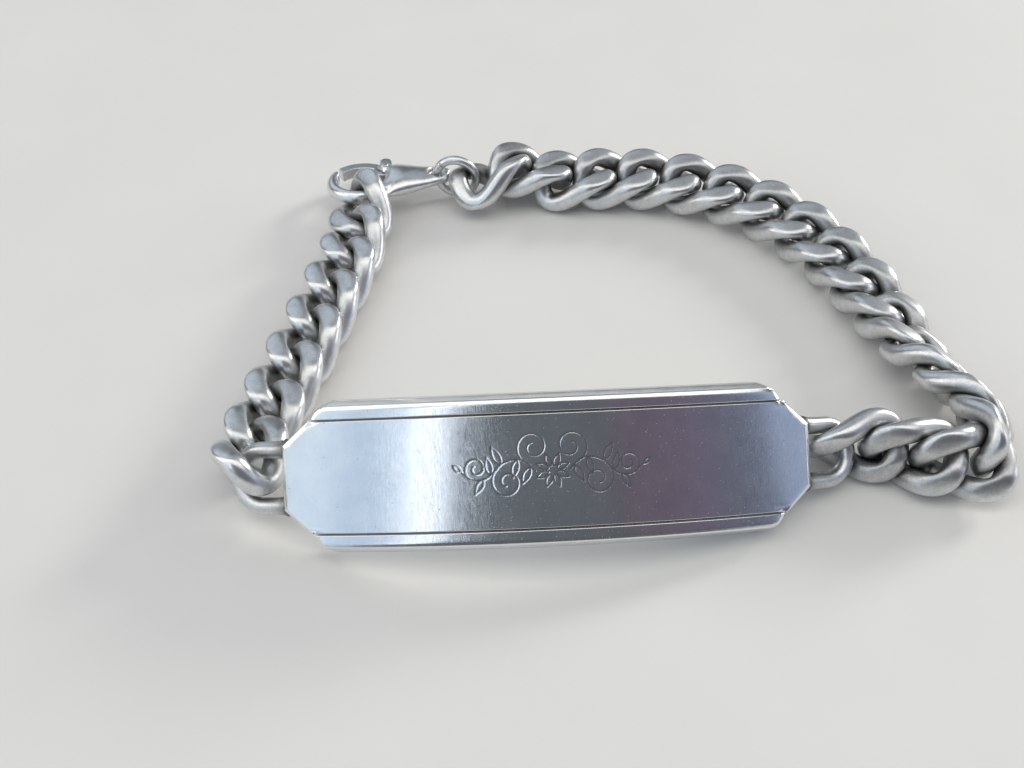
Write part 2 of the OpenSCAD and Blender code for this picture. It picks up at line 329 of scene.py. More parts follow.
def ramp_stops(ramp, stops):
    """Sets a colour ramp's stops from (place, grey or colour) pairs."""
    elements = ramp.color_ramp.elements
    while len(elements) > 1:
        elements.remove(elements[-1])
    for i, (place, shade) in enumerate(stops):
        stop = elements[0] if i == 0 else elements.new(place)
        stop.position = place
        stop.color = shade if isinstance(shade, list) else [shade, shade, shade, 1]
    return ramp


# Hairlines lie across the plate in three layers, 0.08 to 0.19 mm apart. Columns: the turn
# that makes one layer's noise unlike the next, hairs to the mm, hair lengths to the mm
hair_layers = [(4, 12.1, 0.484), (-11, 7.04, 0.352), (68, 5.28, 0.44)]
hair_layers_deep = 2.2
# The polish is uneven in clouds of 3 mm. Pits are 0.1 mm wide, one to every 4 square mm,
# and matt nicks, which catch the light as pale dots, under 0.1 mm and one to the square mm
clouds_per_mm = 0.35
pits_per_mm = 1.3
nicks_per_mm = 2.6
nick_roughness = 0.45
hair_roughness = 0.06
hair_height = -0.12
pit_height = -1.5


def worn_plate_silver():
    """Sterling silver plate, buffed and then worn: a soft grey mirror crossed by hairline
    scratches, with a few pits, dark floors in the cuts and bright rubbed edges."""
    made, tree = new_material("worn_plate_silver")
    span = add_node(tree, "Attribute", {"attribute_name": "span"}).outputs["Vector"]
    floor = add_node(tree, "Attribute", {"attribute_name": "floor"}).outputs["Fac"]
    wear = add_node(tree, "Attribute", {"attribute_name": "wear"}).outputs["Fac"]
    layers = []
    for turn, fine, long in hair_layers:
        turned = add_node(tree, "Mapping", {"Rotation": (0, 0, math.radians(turn)),
                                            "Scale": (fine, long, hair_layers_deep)}, {"Vector": span})
        noise = add_node(tree, "TexNoise", {"Scale": 1.0, "Detail": 3, "Roughness": 0.6},
                         {"Vector": turned.outputs[0]})
        line = ramp_stops(add_node(tree, "ValToRGB", {}, {"Fac": noise.outputs["Fac"]}),
                          ((0.478, 0), (0.492, 1), (0.506, 0)))
        layers.append(line.outputs["Color"])
    hairs = layers[0]
    for layer in layers[1:]:
        hairs = add_node(tree, "Math", {"operation": "MAXIMUM"}, {0: hairs, 1: layer}).outputs[0]
    cloud = add_node(tree, "TexNoise", {"Scale": clouds_per_mm, "Detail": 5, "Roughness": 0.6},
                     {"Vector": span}).outputs["Fac"]
    specks = add_node(tree, "TexVoronoi", {"Scale": pits_per_mm, "Randomness": 1.0}, {"Vector": span})
    pit = ramp_stops(add_node(tree, "ValToRGB", {}, {"Fac": specks.outputs["Distance"]}),
                     ((0.0, 1), (0.045, 0.8), (0.075, 0))).outputs["Color"]
    dots = add_node(tree, "TexVoronoi", {"Scale": nicks_per_mm, "Randomness": 1.0}, {"Vector": span})
    nick = ramp_stops(add_node(tree, "ValToRGB", {}, {"Fac": dots.outputs["Distance"]}),
                      ((0.0, 1), (0.06, 0.7), (0.11, 0))).outputs["Color"]
    bare = ramp_stops(add_node(tree, "ValToRGB", {}, {"Fac": cloud}),
                      ((0.3, linear("#DCE0E6")), (0.7, linear("#E8EAEC"))))
    shade = bare.outputs["Color"]
    # Columns: how much of each point it takes, its colour
    for amount, colour in ((floor, "#6F6862"), (pit, "#8A8580"), (wear, "#F2F4F6")):
        shade = add_node(tree, "Mix", {"data_type": "RGBA", "B": linear(colour)},
                         {"Factor": amount, "A": shade}).outputs["Result"]
    rough = add_node(tree, "MapRange", {"From Min": 0.3, "From Max": 0.7, "To Min": 0.13, "To Max": 0.17},
                     {"Value": cloud}).outputs[0]
    height = cloud
    # Columns: where it is, how much rougher it makes the face
    for amount, rougher in ((nick, nick_roughness), (hairs, hair_roughness)):
        rough = add_node(tree, "Math", {"operation": "MULTIPLY_ADD", 1: rougher},
                         {0: amount, 2: rough}).outputs[0]
    # Columns: where it is, how high it stands
    for amount, higher in ((hairs, hair_height), (pit, pit_height)):
        height = add_node(tree, "Math", {"operation": "MULTIPLY_ADD", 1: higher},
                          {0: amount, 2: height}).outputs[0]
    bump = add_node(tree, "Bump", {"Strength": 0.25, "Distance": 0.02 * MM}, {"Height": height})
    shader = add_node(tree, "BsdfPrincipled", {"Metallic": 1.0},
                      {"Base Color": shade, "Roughness": rough, "Normal": bump.outputs[0]})
    add_node(tree, "OutputMaterial", {}, {"Surface": shader.outputs[0]})
    return made


def placed(name, data):
    """An object in the scene for a mesh, a light or the camera."""
    made = bpy.data.objects.new(name, data)
    bpy.context.scene.collection.objects.link(made)
    return made


def build_piece(name, verts_mm, faces, values, material, nodes, body):
    """A piece from points in mm in the row frame, set to stand for its CAD nodes."""
    mesh = bpy.data.meshes.new(name)
    mesh.from_pydata((np.asarray(verts_mm) * MM).tolist(), [], [list(map(int, f)) for f in faces])
    mesh.update()
    for key, column in values.items():
        column = np.asarray(column, np.float32)
        kind, field = ("FLOAT_VECTOR", "vector") if column.ndim == 2 else ("FLOAT", "value")
        mesh.attributes.new(key, kind, "POINT").data.foreach_set(field, column.ravel())
    mesh.polygons.foreach_set("use_smooth", [True] * len(mesh.polygons))
    piece = placed(name, mesh)
    piece.data.materials.append(material)
    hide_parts(*nodes)
    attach(piece, body)
    return piece


plate_silver = worn_plate_silver()
plate_verts, plate_faces, plate_values = plate_mesh()
build_piece("plate", plate_verts, plate_faces, plate_values, plate_silver, ["name_plate"],
            "bracelet")

# The end loops. A bow of round wire 1.5 mm thick is let into each end of the plate and
# soldered there, so a low collar of solder fills the corner round each arm.
loop_wire = 1.5
loop_width = 4.9
loop_reach = 4.9
let_in = 0.9
arm_steps = 11
bow_steps = 29
collar_height = 0.2
collar_reach = 0.4
loop_tarnish = 0.15
solder_tarnish = 0.7
solder_reach = 0.8
wire_sides = 20
# Dents of about 0.6 mm and rubs of about 0.2 mm, on all the wire and the clasp
dents_per_mm = 1.6
rubs_per_mm = 6.0
rub_height = 0.25
rub_tarnish = 0.5


def worn_and_shaded_wire_silver():
    """Drawn silver wire, soldered and polished, with small dents and finer rubs. Grey-brown
    tarnish is mixed in, and where the chain's wires meet and inside each link it is partly
    painted shade."""
    made, tree = new_material("worn_and_shaded_wire_silver")
    coords = add_node(tree, "TexCoord")
    tarnish_and_shade = add_node(tree, "Attribute", {"attribute_name": "tarnish_and_shade"})
    in_mm = add_node(tree, "Mapping", {"Scale": (1 / MM, 1 / MM, 1 / MM)},
                     {"Vector": coords.outputs["Object"]})
    dents = add_node(tree, "TexNoise", {"Scale": dents_per_mm, "Detail": 4, "Roughness": 0.55},
                     {"Vector": in_mm.outputs[0]})
    rubs = add_node(tree, "TexNoise", {"Scale": rubs_per_mm, "Detail": 3, "Roughness": 0.6},
                    {"Vector": in_mm.outputs[0]})
    bare = ramp_stops(add_node(tree, "ValToRGB", {}, {"Fac": dents.outputs["Fac"]}),
                      ((0.3, linear("#DDDFE0")), (0.7, linear("#F0F2F4"))))
    patchy = add_node(tree, "Math", {"operation": "MULTIPLY_ADD", 1: rub_tarnish, 2: -rub_tarnish / 2},
                      {0: rubs.outputs["Fac"]})
    amount = add_node(tree, "Math", {"operation": "ADD", "use_clamp": True},
                      {0: patchy.outputs[0], 1: tarnish_and_shade.outputs["Fac"]})
    # Painted shade: the grey-brown mixed in here is tarnish on the loops, ring and clasp, but on the chain
    # it is partly painted shade where links meet and inside each link, and all over each run.
    shade = add_node(tree, "Mix", {"data_type": "RGBA", "B": linear("#66655F")},
                     {"Factor": amount.outputs[0], "A": bare.outputs["Color"]})
    rough = add_node(tree, "MapRange", {"From Min": 0.0, "From Max": 1.0, "To Min": 0.29, "To Max": 0.5},
                     {"Value": amount.outputs[0]})
    height = add_node(tree, "Math", {"operation": "MULTIPLY_ADD", 1: rub_height},
                      {0: rubs.outputs["Fac"], 2: dents.outputs["Fac"]})
    bump = add_node(tree, "Bump", {"Strength": 0.3, "Distance": 0.05 * MM}, {"Height": height.outputs[0]})
    shader = add_node(tree, "BsdfPrincipled", {"Metallic": 1.0},
                      {"Base Color": shade.outputs["Result"], "Roughness": rough.outputs[0],
                       "Normal": bump.outputs[0]})
    add_node(tree, "OutputMaterial", {}, {"Surface": shader.outputs[0]})
    return made


def tube(path, radius, closed, outward):
    """Rings of points round a path, each starting from the side that faces outward."""
    ahead = np.roll(path, -1, 0) - np.roll(path, 1, 0)
    if not closed:
        ahead[0] = path[1] - path[0]
        ahead[-1] = path[-1] - path[-2]
    ahead /= np.linalg.norm(ahead, axis=1)[:, None]
    out = outward - (outward * ahead).sum(1)[:, None] * ahead
    out /= np.linalg.norm(out, axis=1)[:, None]
    up = np.cross(ahead, out)
    turn = np.arange(wire_sides) / wire_sides * 2 * math.pi
    radius = np.broadcast_to(np.asarray(radius, float).reshape(-1, 1, 1), (len(path), 1, 1))
    spokes = np.cos(turn)[None, :, None] * out[:, None] + np.sin(turn)[None, :, None] * up[:, None]
    return path[:, None] + radius * spokes


def ring_faces(count, closed):
    """Quads between the rings of a tube, which stays open at its ends unless it is closed."""
    index = np.arange(count * wire_sides).reshape(count, wire_sides)
    after = np.roll(index, -1, 0) if closed else index[1:]
    here = index if closed else index[:-1]
    return np.stack([here, after, np.roll(after, -1, 1), np.roll(here, -1, 1)], -1).reshape(-1, 4)


def end_loop(side):
    """One loop, left for side -1: arms and bow in the plate's own place, then in the row frame."""
    arm = loop_reach - loop_width / 2
    bow = np.linspace(-math.pi / 2, math.pi / 2, bow_steps)
    straight = np.linspace(-let_in, arm, arm_steps + 1)[:-1]
    beside = np.full(arm_steps, loop_width / 2)
    along = np.concatenate([straight, arm + loop_width / 2 * np.cos(bow), straight[::-1]])
    across = np.concatenate([-beside, loop_width / 2 * np.sin(bow), beside])
    past_end = np.clip(along, 0, None)
    collar = np.where(along < 0, 0.0, collar_height * np.exp(-past_end / collar_reach))
    flat = np.stack([along, np.zeros_like(along), across], 1)
    outward = np.stack([np.clip(along - arm, 0, None), np.zeros_like(along), across], 1)
    rings = tube(flat, loop_wire / 2 + collar, False, outward)
    angle = plate_length / 2 / face_radius
    out, from_centre = rings[..., 0], face_radius - plate_thick / 2 + rings[..., 1]
    x = from_centre * math.sin(angle) + out * math.cos(angle)
    y = face_radius - from_centre * math.cos(angle) + out * math.sin(angle)
    verts = plate_in_row(np.stack([side * x, y, rings[..., 2]], -1).reshape(-1, 3))
    middle = verts.reshape(len(flat), wire_sides, 3).mean(1)
    faces = ring_faces(len(flat), False)
    if side < 0:
        faces = faces[:, ::-1]
    near_end = np.exp(-np.repeat(past_end, wire_sides) / solder_reach)
    return verts, faces, {"tarnish_and_shade": loop_tarnish + solder_tarnish * near_end}, (middle, loop_wire / 2)


wire_silver = worn_and_shaded_wire_silver()
loop_paths = {}
for loop_name, loop_side in (("left_loop", -1), ("right_loop", 1)):
    loop_verts, loop_faces, loop_values, loop_paths[loop_name] = end_loop(loop_side)
    build_piece(loop_name, loop_verts, loop_faces, loop_values, wire_silver, ["name_plate"],
                "bracelet")

# The jump ring. A turn of 1 mm wire, its ends butted and left unsoldered, which ties the
# clasp's eye to the last link.
ring_wire = 1.0
ring_radius = 2.2
ring_steps = 60
ring_tarnish = 0.1
ring_place = np.array([-16.0, 24.55, 2.9])
ring_turn = np.array(Matrix.Rotation(math.radians(-9.5), 3, "Z")
                     @ Matrix.Rotation(math.radians(90), 3, "X"))
# The seam, in radians round the ring: the two ends' lips and the hair between them
seam_bearing = 2.4
seam_steps = [-0.012, -0.004, 0.004, 0.012]
seam_clear = 0.08
seam_depth = 0.07
seam_tarnish = 0.8


def jump_ring():
    """The ring with a hair-wide seam where its ends meet."""
    plain = np.linspace(seam_clear, 2 * math.pi - seam_clear, ring_steps)
    t = seam_bearing + np.concatenate([seam_steps, plain])
    path = np.stack([ring_radius * np.cos(t), ring_radius * np.sin(t), 0 * t], 1)
    seam = np.zeros(len(t))
    seam[1:3] = 1
    rings = tube(path, ring_wire / 2 - seam_depth * seam, True, path)
    verts = rings.reshape(-1, 3) @ ring_turn.T + ring_place
    tarnish_and_shade = ring_tarnish + seam_tarnish * np.repeat(seam, wire_sides)
    return verts, {"tarnish_and_shade": tarnish_and_shade}, path @ ring_turn.T + ring_place


ring_verts, ring_values, ring_middle = jump_ring()
ring_wires = [(ring_middle, ring_wire / 2)]
build_piece("ring", ring_verts, ring_faces(len(ring_middle), True), ring_values, wire_silver,
            ["jump_ring"], "bracelet")

# The lobster clasp. A cast claw with a round lug and eye, a swollen shoulder and a hook
# that tapers to its tip. It was tumbled bright, so every edge is soft.
claw_radius = 3.9
claw_opening = 2.5
claw_reach = 8.6
claw_middle = np.array([claw_reach, 0.0])
band_radius = (claw_radius + claw_opening) / 2
eye_radius = 1.5
eye_bore = 0.95
shoulder_thick = 2.6
hook_thick = 1.5
clasp_place = np.array([-18.15, 25.1, 2.6])
clasp_turn = np.array(Matrix.Rotation(math.radians(190), 3, "Z") @ Matrix.Rotation(math.radians(8), 3, "X"))
# Bearings round the claw's middle, in degrees from its far end, and the shoulder's two
# ends as angles to each side of the eye
hook_root = 176
hook_tip = -44
hook_tip_inside = -36
tip_taper_start = 20
tip_inset = 0.35
shoulder_end = 56
throat_end = 52
# Points on each round stretch of the outlines
eye_steps = 16
rim_steps = 10
throat_steps = 24
hook_steps = 60
hook_steps_inside = 70
slot_steps = 16
# The hinge, the boss that turns on it and the cheeks beside the boss
hinge_bearing = -150
hinge = claw_middle + band_radius * np.array([math.cos(math.radians(hinge_bearing)),
                                              math.sin(math.radians(hinge_bearing))])
lever_thick = 1.2
lever_gap = 0.12
boss_radius = 1.25
cheek_end = math.radians(180 + (shoulder_end + throat_end) / 2)
cheek_reach = 1.15
cheek_fullness = 0.9
# How far in from each edge the casting's rounding reaches
throat_round = 1.1
eye_round = 0.35
cheek_round = 0.45
end_round = 0.6
# Where the shoulder turns into the hook, where it is fattest, the skin added all over,
# and the least that is left of half the thickness or of the eye's half width squared
hook_start = 5.0
hook_blend = 2.2
belly_place = 4.2
belly_reach = 2.4
skin = 0.02
thinnest = 0.08
least_square = 0.01
# The lever's slot. Columns: place from the hinge along the clasp, and across it
slot_half = lever_thick / 2 + lever_gap
slot_round = boss_radius + 2 * lever_gap
slot_corners = [(-slot_round, -6.0), (3.2, -6.0), (3.2, 1.2), (0.6, 1.38)]
slot_reach = 2.0
slot_top = 1.0
slot_wall = 0.01
slot_tarnish = 0.55
bore_rim = 0.2
bore_tarnish = 0.35
crease_angle = math.radians(40)
# Voxels of the cast shape, first roughly and then finely, and the tumbling that softens it
rough_voxel = 0.09
claw_voxel = 0.08
tumbling = {"factor": 0.6, "iterations": 10}


def arc(middle, radius, start, end, count):
    """Points on a circle between two bearings in degrees."""
    t = np.radians(np.linspace(start, end, count))
    return np.stack([middle[0] + radius * np.cos(t), middle[1] + radius * np.sin(t)], 1)


def circle(middle, radius, count):
    """Points right round a circle."""
    return arc(middle, radius, 0, 360 - 360 / count, count)


def prism(outline, half_thick):
    """A closed prism over an outline, as a bmesh."""
    made = bmesh.new()
    low = [made.verts.new((x, y, -half_thick)) for x, y in outline]
    high = [made.verts.new((x, y, half_thick)) for x, y in outline]
    made.faces.new(low[::-1])
    made.faces.new(high)
    for i in range(len(outline)):
        k = (i + 1) % len(outline)
        made.faces.new((low[i], low[k], high[k], high[i]))
    return made


def joined(name, parts):
    """One object from several bmeshes, in the clasp's own millimetres."""
    mesh = bpy.data.meshes.new(name)
    whole = bmesh.new()
    for part in parts:
        bmesh.ops.recalc_face_normals(part, faces=part.faces)
        holder = bpy.data.meshes.new("holder")
        part.to_mesh(holder)
        whole.from_mesh(holder)
        part.free()
        bpy.data.meshes.remove(holder)
    whole.to_mesh(mesh)
    whole.free()
    return placed(name, mesh)


def loose(name, verts, faces):
    """A plain object from vertices and faces, for the modifiers to work on."""
    mesh = bpy.data.meshes.new(name)
    mesh.from_pydata(verts.tolist(), [], faces)
    return placed(name, mesh)


def applied(made, modifiers):
    """The mesh that an object's modifiers give, as vertices and faces, without the object."""
    for kind, settings in modifiers:
        added = made.modifiers.new(kind, kind)
        for key, value in settings.items():
            setattr(added, key, value)
    bpy.context.view_layer.update()
    shown = made.evaluated_get(bpy.context.evaluated_depsgraph_get())
    result = bpy.data.meshes.new_from_object(shown)
    verts = np.array([v.co for v in result.vertices])
    faces = [list(p.vertices) for p in result.polygons]
    bpy.data.meshes.remove(result)
    bpy.data.objects.remove(made)
    return verts, faces


def claw_parts():
    """The flat solids that the claw is swollen from, thicker than it ends."""
    taper = math.degrees(math.asin((claw_radius - eye_radius) / claw_reach))
    body = np.concatenate([
        arc((0, 0), eye_radius, 90 + taper, 270 - taper, eye_steps),
        arc(claw_middle, claw_radius, 270 - taper, 180 + shoulder_end, rim_steps),
        arc(claw_middle, claw_opening, 180 + throat_end, 180 - throat_end, throat_steps),
        arc(claw_middle, claw_radius, 180 - shoulder_end, 90 + taper, rim_steps)])
    bearing = np.linspace(hook_tip_inside, hook_root, hook_steps_inside)
    past_start = np.clip((tip_taper_start - bearing) / (tip_taper_start - hook_tip_inside), 0, 1)
    reach = claw_opening + tip_inset * past_start**2
    way = np.stack([np.cos(np.radians(bearing)), np.sin(np.radians(bearing))], 1)
    outside = arc(claw_middle, claw_radius, hook_root, hook_tip, hook_steps)
    hook = np.concatenate([outside, claw_middle + reach[:, None] * way])
    return [prism(body, shoulder_thick / 2), prism(hook, shoulder_thick / 2)]


def crown(depth, half_span):
    """How high a rounded back stands, 0 to 1, at a depth in from the edge of its span."""
    return np.sqrt(1 - (1 - np.clip(depth / half_span, 0, 1)) ** 2)


def swollen(verts):
    """The flat claw with its faces crowned: a fat teardrop shoulder, a round hook and eye."""
    x, y = verts[:, 0], np.abs(verts[:, 1])
    slope = (eye_radius - claw_radius) / claw_reach
    side = (eye_radius - slope * x) / math.sqrt(1 - slope**2)
    round_eye = np.sqrt(np.clip(eye_radius**2 - x**2, least_square, None))
    width = np.where(x < slope * eye_radius, round_eye, side)
    opening = np.hypot(x - claw_reach, y) - claw_opening
    round_end = np.where(x < 0, eye_radius - np.hypot(x, y), eye_radius)
    shoulder = np.sqrt(np.clip(1 - (y / width) ** 2, 0, 1)) * crown(opening, throat_round)
    shoulder = shoulder * crown(np.hypot(x, y) - eye_bore, eye_round) * crown(round_end, eye_round)
    from_rim = claw_radius - np.hypot(x - claw_reach, y)
    hook = crown(np.minimum(from_rim, opening), (claw_radius - claw_opening) / 2)
    before_end = (x - claw_reach) * math.sin(cheek_end) - verts[:, 1] * math.cos(cheek_end)
    before_end = np.where((verts[:, 1] < 0) & (x < claw_reach), before_end, claw_radius)
    cheek = np.exp(-(np.hypot(x - hinge[0], verts[:, 1] - hinge[1]) / cheek_reach) ** 4)
    cheek = cheek * crown(np.minimum(opening, before_end), cheek_round)
    to_hook = np.clip((x - hook_start) / hook_blend, 0, 1)
    to_hook = to_hook**2 * (3 - 2 * to_hook) * (1 - cheek)
    shape = np.maximum(shoulder + (hook - shoulder) * to_hook, cheek) * crown(before_end, end_round)
    full = np.maximum(np.exp(-((x - belly_place) / belly_reach) ** 2), cheek_fullness * cheek)
    half = hook_thick / 2 + skin + (shoulder_thick / 2 - hook_thick / 2) * full
    out = verts.copy()
    out[:, 2] = verts[:, 2] / (shoulder_thick / 2) * np.maximum(half * shape, thinnest)
    return out


def clasp_in_row(points):
    """Points from the clasp's own place to the row frame, in mm."""
    return points @ clasp_turn.T + clasp_place


claw_raw = joined("claw_raw", claw_parts())
claw_verts, claw_faces = applied(claw_raw, (("REMESH", {"mode": "VOXEL", "voxel_size": rough_voxel}),))
claw_verts, claw_faces = applied(loose("claw_swollen", swollen(claw_verts), claw_faces), (
    ("REMESH", {"mode": "VOXEL", "voxel_size": claw_voxel}),
    ("SMOOTH", tumbling),
))
slot_back = arc(hinge, slot_round, 90, 180, slot_steps)
slot_outline = np.concatenate([slot_back, hinge + np.array(slot_corners)])
cutter = joined("slot_cutter", [prism(slot_outline, slot_half)])
claw_verts, claw_faces = applied(loose("claw_solid", claw_verts, claw_faces), (
    ("BOOLEAN", {"operation": "DIFFERENCE", "object": cutter, "solver": "EXACT"}),
))
bpy.data.objects.remove(cutter)
in_slot = np.abs(claw_verts[:, 2]) <= slot_half + slot_wall
in_slot &= np.abs(claw_verts[:, 0] - hinge[0]) < slot_reach
in_slot &= claw_verts[:, 1] < slot_top
in_bore = np.hypot(claw_verts[:, 0], claw_verts[:, 1]) < eye_bore + bore_rim
claw_tarnish = slot_tarnish * in_slot + bore_tarnish * in_bore
claw_piece = build_piece("claw", clasp_in_row(claw_verts), claw_faces, {"tarnish_and_shade": claw_tarnish},
                         wire_silver, ["clasp_body"], "bracelet")
claw_piece.data.set_sharp_from_angle(angle=crease_angle)
hook_run = arc(claw_middle, band_radius, hook_root, hook_tip, hook_steps)
hook_run = clasp_in_row(np.column_stack([hook_run, np.zeros(hook_steps)]))
clasp_wires = [(hook_run, hook_thick / 2)]

# The lever. It is stamped from 1.2 mm sheet, closes the claw from the inside under a
# spring hidden in the shoulder, and has a thumb tab that stands out of the slot.
lever_inset = 0.15
lever_tip = -52
lever_tip_inside = -44
lever_steps = 26
boss_sides = 36
tab_radius = 0.65
tab_reach = 2.1
tab_place = hinge - np.array([tab_radius / 2, tab_reach])
tab_steps = 14
lever_voxel = 0.06
lever_tumbling = {"factor": 0.6, "iterations": 8}
lever_tarnish = 0.12


def lever_parts():
    """The lever's boss, arm and tab."""
    outer = arc(claw_middle, claw_radius - lever_inset, hinge_bearing, lever_tip, lever_steps)
    inner = arc(claw_middle, claw_opening + lever_inset, lever_tip_inside, hinge_bearing, lever_steps)
    root = [tab_place + [tab_radius, tab_reach], tab_place + [-tab_radius, tab_reach]]
    tab = np.concatenate([arc(tab_place, tab_radius, 180, 360, tab_steps), root])
    outlines = (circle(hinge, boss_radius, boss_sides), np.concatenate([outer, inner]), tab)
    return [prism(outline, lever_thick / 2) for outline in outlines]


lever_raw = joined("lever_raw", lever_parts())
lever_verts, lever_faces = applied(lever_raw, (
    ("REMESH", {"mode": "VOXEL", "voxel_size": lever_voxel}),
    ("SMOOTH", lever_tumbling),
))
lever_values = {"tarnish_and_shade": np.full(len(lever_verts), lever_tarnish)}
build_piece("lever_blade", clasp_in_row(lever_verts), lever_faces, lever_values,
            wire_silver, ["clasp_lever"], "lever")

# The rivet. A short pin of 1 mm silver wire through the shoulder and the lever's boss.
# Its two ends were peened over to low domes, which hold it there.
pin_radius = 0.5
pin_half = shoulder_thick / 2 - 0.04
pin_tarnish = 0.25
# Columns: radius, height over the pin's end
dome = [(0.001, 0.12), (0.22, 0.1), (0.4, 0.04), (pin_radius, -0.03)]


def rivet():
    """The pin with its domed ends, as rings from end to end."""
    profile = [(radius, pin_half + rise) for radius, rise in dome]
    profile += [(radius, -height) for radius, height in profile[::-1]]
    rings = []
    for radius, height in profile:
        rings.append(np.column_stack([circle(hinge, radius, wire_sides), np.full(wire_sides, height)]))
    return np.concatenate(rings), ring_faces(len(profile), False)[:, ::-1]


pin_verts, pin_faces = rivet()
pin_values = {"tarnish_and_shade": np.full(len(pin_verts), pin_tarnish)}
build_piece("rivet", clasp_in_row(pin_verts), pin_faces, pin_values,
            wire_silver, ["lever_pin"], "bracelet")

# The curb chain. Each link is an oval of 1.9 mm wire, soldered shut and twisted so that
# the links lie flat in each other. The left run has eight links and the right eighteen;
# both faces were filed flat. Where links meet, and inside each link, the silver is painted
# grey, partly as tarnish and partly as painted shade; the right run has painted shade all
# over and the left a little painted light.
link_length = 7.5
link_width = 4.7
link_twist = 1.6
link_fullness = 0.1
link_wire = 1.9
full_wire = 2.2
link_steps = 96
# The filed flats, as heights over and under a link's middle, and the softness of their edges
upper_flat = 2.0
lower_flat = 2.4
flat_blend = 0.34
# How the wire fills the room beside it: the gap left, a slope that faces the board, a gap
# too wide to matter, how many times the swelling is evened out, and links that come near
least_gap = 0.01
facing_down = 0.2
wide_gap = 9.0
evening_passes = 4
near_links = 2
# Grey where wires meet, fading with the gap, and inside each link: partly tarnish and
# partly painted shade
meeting_tarnish_and_shade = 0.95
meeting_reach = 0.65
inside_tarnish_and_shade = 0.35
# How each link lies. Columns: x, y, z, heading, climb, roll
HEADING, CLIMB, ROLL = 3, 4, 5
left_start = [
    [-33.05, -18.1, 3.8, 91.5, -20, 2],
]
left_end = [
    [-26.55, 13.2, 2.8, 86, -1, -8],
    [-26.3, 18.65, 2.85, 94, 5.5, -24.5],
]
right_start = [
    [20.95, -16.75, 3.35, -5, 5, 89],
    [26.05, -17.7, 3.4, -15, 0, 68],
    [30.45, -18.5, 3.4, -7, -5, 64],
    [33.1, -15.1, 3.9, 81, -10, 57],
    [32.05, -10.3, 3.55, 112, -3, 53],
    [30.1, -5.7, 3.25, 113, -5, 39],
    [28.45, -0.7, 2.8, 105, -4, 17],
]
right_end = [
    [-2.8, 24, 2.8, 180.5, -1, -8],
    [-7.65, 24.8, 3.3, 174, 7, 4.5],
    [-12, 23.95, 2.95, 202, -6, 24.5],
]
# Stretches of like links. Columns: how many, turn to each, climb, roll, step
left_stretches = [
    [1, -14, -2.5, 7, 5.25],
    [1, -2, -0.5, 0, 5.4],
    [3, 0.5, 0.5, -2, 5.4],
]
right_stretches = [
    [1, 7, 2, 4, 5.05],
    [1, 4, 1.5, -8, 5.05],
    [1, 7, 0, -12, 5.0],
    [1, 10, 0, -12, 4.95],
    [3, 12.5, 0, -12, 4.9],
    [1, 10, 0, -12, 4.85],
]


def link_turn(link):
    """How a link is turned: along its heading, climbing, and rolled about its length."""
    return np.array(Matrix.Rotation(math.radians(link[HEADING]), 3, "Z")
                    @ Matrix.Rotation(math.radians(-link[CLIMB]), 3, "Y")
                    @ Matrix.Rotation(math.radians(link[ROLL]), 3, "X"))


def lay(start, stretches, end):
    """The links of a run: the first ones, then each stretch link by link, then the last."""
    links = [list(link) for link in start]
    for count, turn, climb, roll, step in stretches:
        for _ in range(count):
            last = links[-1]
            turned = [0, 0, 0, last[HEADING] + turn, climb, roll]
            way = link_turn(last)[:, 0] + link_turn(turned)[:, 0]
            links.append(list(np.array(last[:3]) + step / 2 * way) + turned[3:])
    return links + [list(link) for link in end]


def link_path(link):
    """The middle of a link's wire, in the row frame, and the way out from its middle."""
    t = np.arange(link_steps) / link_steps * 2 * math.pi
    path = np.stack([link_length / 2 * np.cos(t),
                     link_width / 2 * np.sin(t) * (1 + link_fullness * np.cos(t) ** 2),
                     -link_twist * np.sin(2 * t)], 1)
    out = np.stack([link_width * np.cos(t), link_length * np.sin(t), 0 * t], 1)
    turn = link_turn(link)
    return path @ turn.T + np.array(link[:3]), out @ turn.T


def gap_beside(verts, others):
    """How far each point lies from the wires beside it, given as middles and radii."""
    gap = np.full(len(verts), wide_gap)
    for path, radius in others:
        off = np.sqrt(((verts[:, None] - path[None]) ** 2).sum(2).min(1)) - radius
        gap = np.minimum(gap, off)
    return gap


def filed(height):
    """Heights over a link's middle, brought to the flats filed on its two faces."""
    low = np.logaddexp(height / flat_blend, -lower_flat / flat_blend) * flat_blend
    return -np.logaddexp(-low / flat_blend, -upper_flat / flat_blend) * flat_blend


